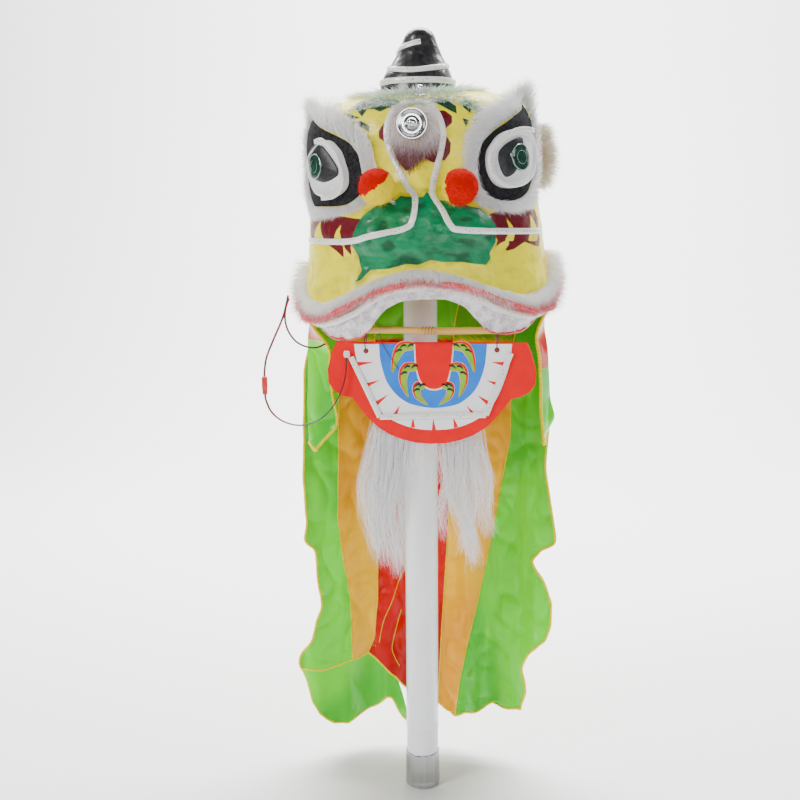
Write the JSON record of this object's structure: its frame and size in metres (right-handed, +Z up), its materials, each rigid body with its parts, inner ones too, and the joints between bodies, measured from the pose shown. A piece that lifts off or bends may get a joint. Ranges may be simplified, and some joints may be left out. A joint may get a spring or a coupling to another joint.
{
  "type": "child-size lion dance head on a pole stand",
  "caption": "Papier-mache lion dance head with horn, fur brows, light strips, hanging jaw board, beard and satin cape, held up on a plain pipe",
  "frame": {"origin": "centre of the foot of the pole that holds the head up", "axes": "+Z up along the pole, the face looks along -Y, +X to the right of someone who looks at the face"},
  "size_m": [0.4295, 0.3413, 1.1439],
  "materials": {
    "skull_paint": "papier mache with glossy yellow paint, green nose and maroon glitter patches",
    "black_felt": "black felt",
    "white_fur": "long white artificial fur",
    "maroon_fur": "white fur tipped pink and maroon",
    "eye_board": "white eye board",
    "iris_paper": "matte black",
    "pupil_glass": "dark green glass button",
    "light_strip": "white flexible light strip",
    "chrome": "polished",
    "wool": "red wool with a yellow patch",
    "ear_fur": "white fur",
    "ear_lining": "reddish cloth",
    "gum_paper": "wrinkled white papier mache",
    "bamboo": "split bamboo",
    "string": "dark red thread",
    "jaw_card": "board printed red, white and blue",
    "clear_cover": "clear glue over the solder joint",
    "beard_hair": "glossy white hair",
    "green_satin": "green satin with gold edging",
    "orange_satin": "orange satin",
    "red_satin": "red satin",
    "pvc": "white plastic pipe",
    "steel": "thin bright metal sleeve",
    "wire": "red and black insulated wire",
    "plug": "red wire connector"
  },
  "bodies": {
    "root": {"beard": "beard_hair", "brow_fur_left": "white_fur", "brow_fur_right": "white_fur", "brow_light_strip_left": "light_strip", "brow_light_strip_right": "light_strip", "cape_green_left": "green_satin", "cape_green_right": "green_satin", "cape_hem_flap": "green_satin", "cape_orange_left": "orange_satin", "cape_orange_right": "orange_satin", "cape_red": "red_satin", "crown_bell": "chrome", "ear_left": "ear_fur", "ear_lining_left": "ear_lining", "ear_lining_right": "ear_lining", "ear_right": "ear_fur", "eye_dish_left": "eye_board", "eye_dish_right": "eye_board", "eye_light_strip_left": "light_strip", "eye_light_strip_right": "light_strip", "eye_surround_left": "black_felt", "eye_surround_right": "black_felt", "face_light_strip": "light_strip", "forehead_tuft": "maroon_fur", "gum_band": "gum_paper", "head_shell": "skull_paint", "horn": "black_felt", "horn_base_strip": "light_strip", "horn_fur_collar": "white_fur", "horn_light_strip": "light_strip", "iris_left": "iris_paper", "iris_right": "iris_paper", "jaw_board": "jaw_card", "jaw_light_strip": "light_strip", "jaw_wire_patch": "clear_cover", "lead_connector": "plug", "lead_head": "wire", "lead_jaw": "wire", "lead_spare": "wire", "lip_fur": "white_fur", "lip_light_strip": "light_strip", "mirror_ball": "chrome", "mirror_dish": "chrome", "mouth_rod": "bamboo", "pole": "pvc", "pole_ferrule": "steel", "pompom_left": "wool", "pompom_pin_left": "chrome", "pompom_pin_right": "chrome", "pompom_right": "wool", "pupil_left": "pupil_glass", "pupil_right": "pupil_glass", "side_flap_left": "green_satin", "side_flap_right": "green_satin", "tie_string_left": "string", "tie_string_right": "string"}
  },
  "joints": []
}
